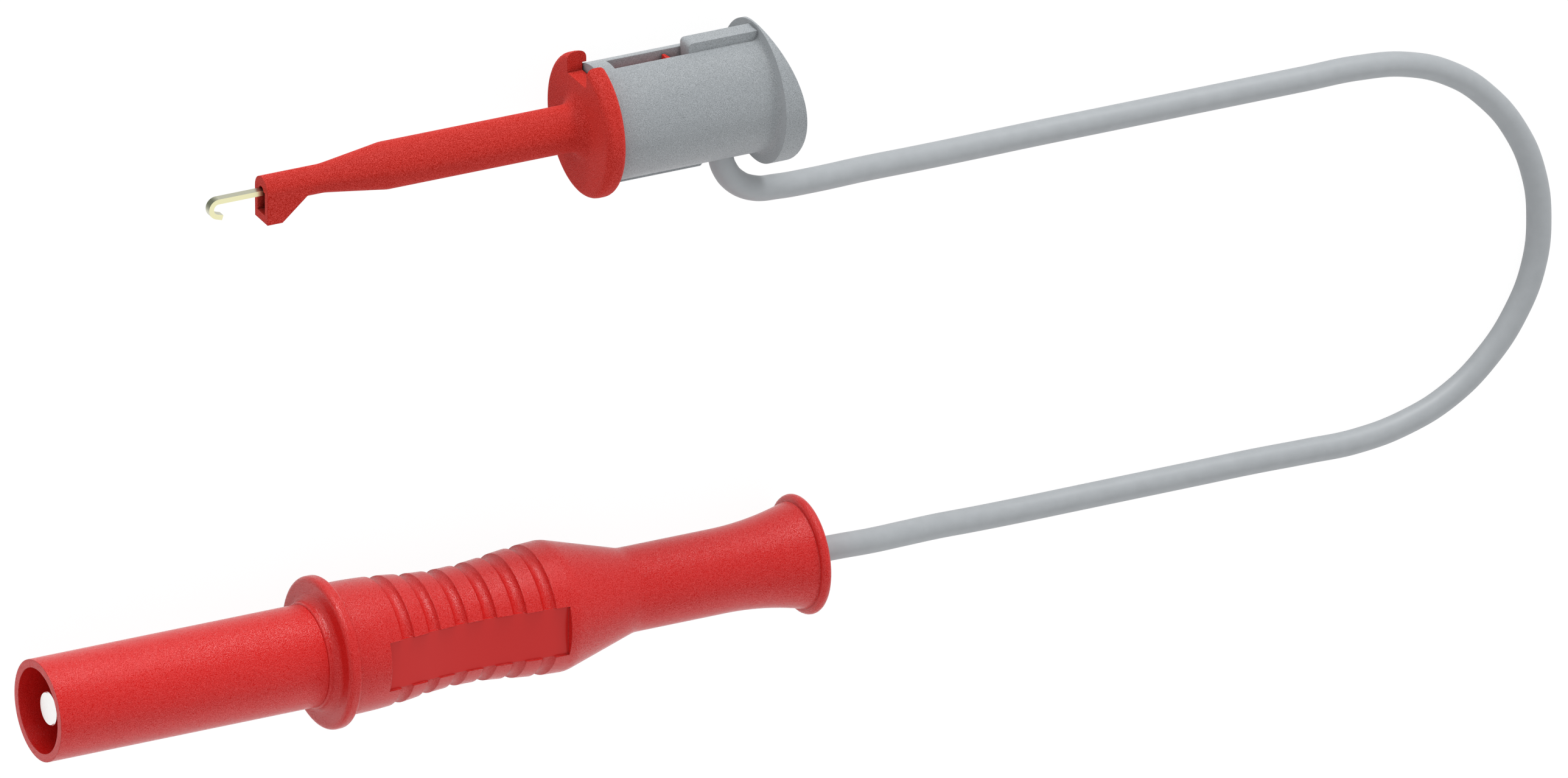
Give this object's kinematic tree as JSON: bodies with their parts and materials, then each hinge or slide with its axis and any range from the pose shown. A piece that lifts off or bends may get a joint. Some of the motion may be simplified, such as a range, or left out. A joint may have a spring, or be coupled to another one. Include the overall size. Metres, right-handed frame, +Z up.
{
  "type": "test lead",
  "caption": "Short flexible lead that joins a sheathed banana-type plug to a sprung hook clip, for tapping a signal or supply from a thin wire or component leg.",
  "frame": {"origin": "on the table, under the middle of the box round the plug and the clip, the cord left out", "axes": "+X along the clip from its hook to its thumb rest, +Y from the plug to the clip, +Z up from the table"},
  "size_m": [0.1566, 0.0609, 0.0142],
  "materials": {
    "red_plastic": "fine moulded texture",
    "grey_plastic": "fine moulded texture",
    "cord_jacket": "smooth satin",
    "nickel_plate": "polished",
    "gold_plate": "satin pale gold",
    "copper_strand": "bright drawn wire",
    "spring_steel": "bright drawn wire"
  },
  "bodies": {
    "lead": {"plug_sleeve": "red_plastic", "plug_grip": "red_plastic", "contact_pin": "nickel_plate", "contact_cage": "gold_plate", "plug_conductor": "copper_strand", "plug_cord_end": "cord_jacket", "cord": "cord_jacket", "plunger": "grey_plastic", "hook": "gold_plate", "hook_ferrule": "gold_plate", "return_spring": "spring_steel", "clip_conductor": "copper_strand", "clip_cord_end": "cord_jacket"},
    "barrel": {"clip_barrel": "red_plastic"}
  },
  "joints": [
    {"name": "barrel_slide", "type": "slide", "parent": "lead", "child": "barrel", "axis": [-1, 0, 0], "range_m": [0, 0.005], "stiffness_N_per_m": 200, "springref_m": 0.008, "deforming": ["return_spring"]}
  ]
}
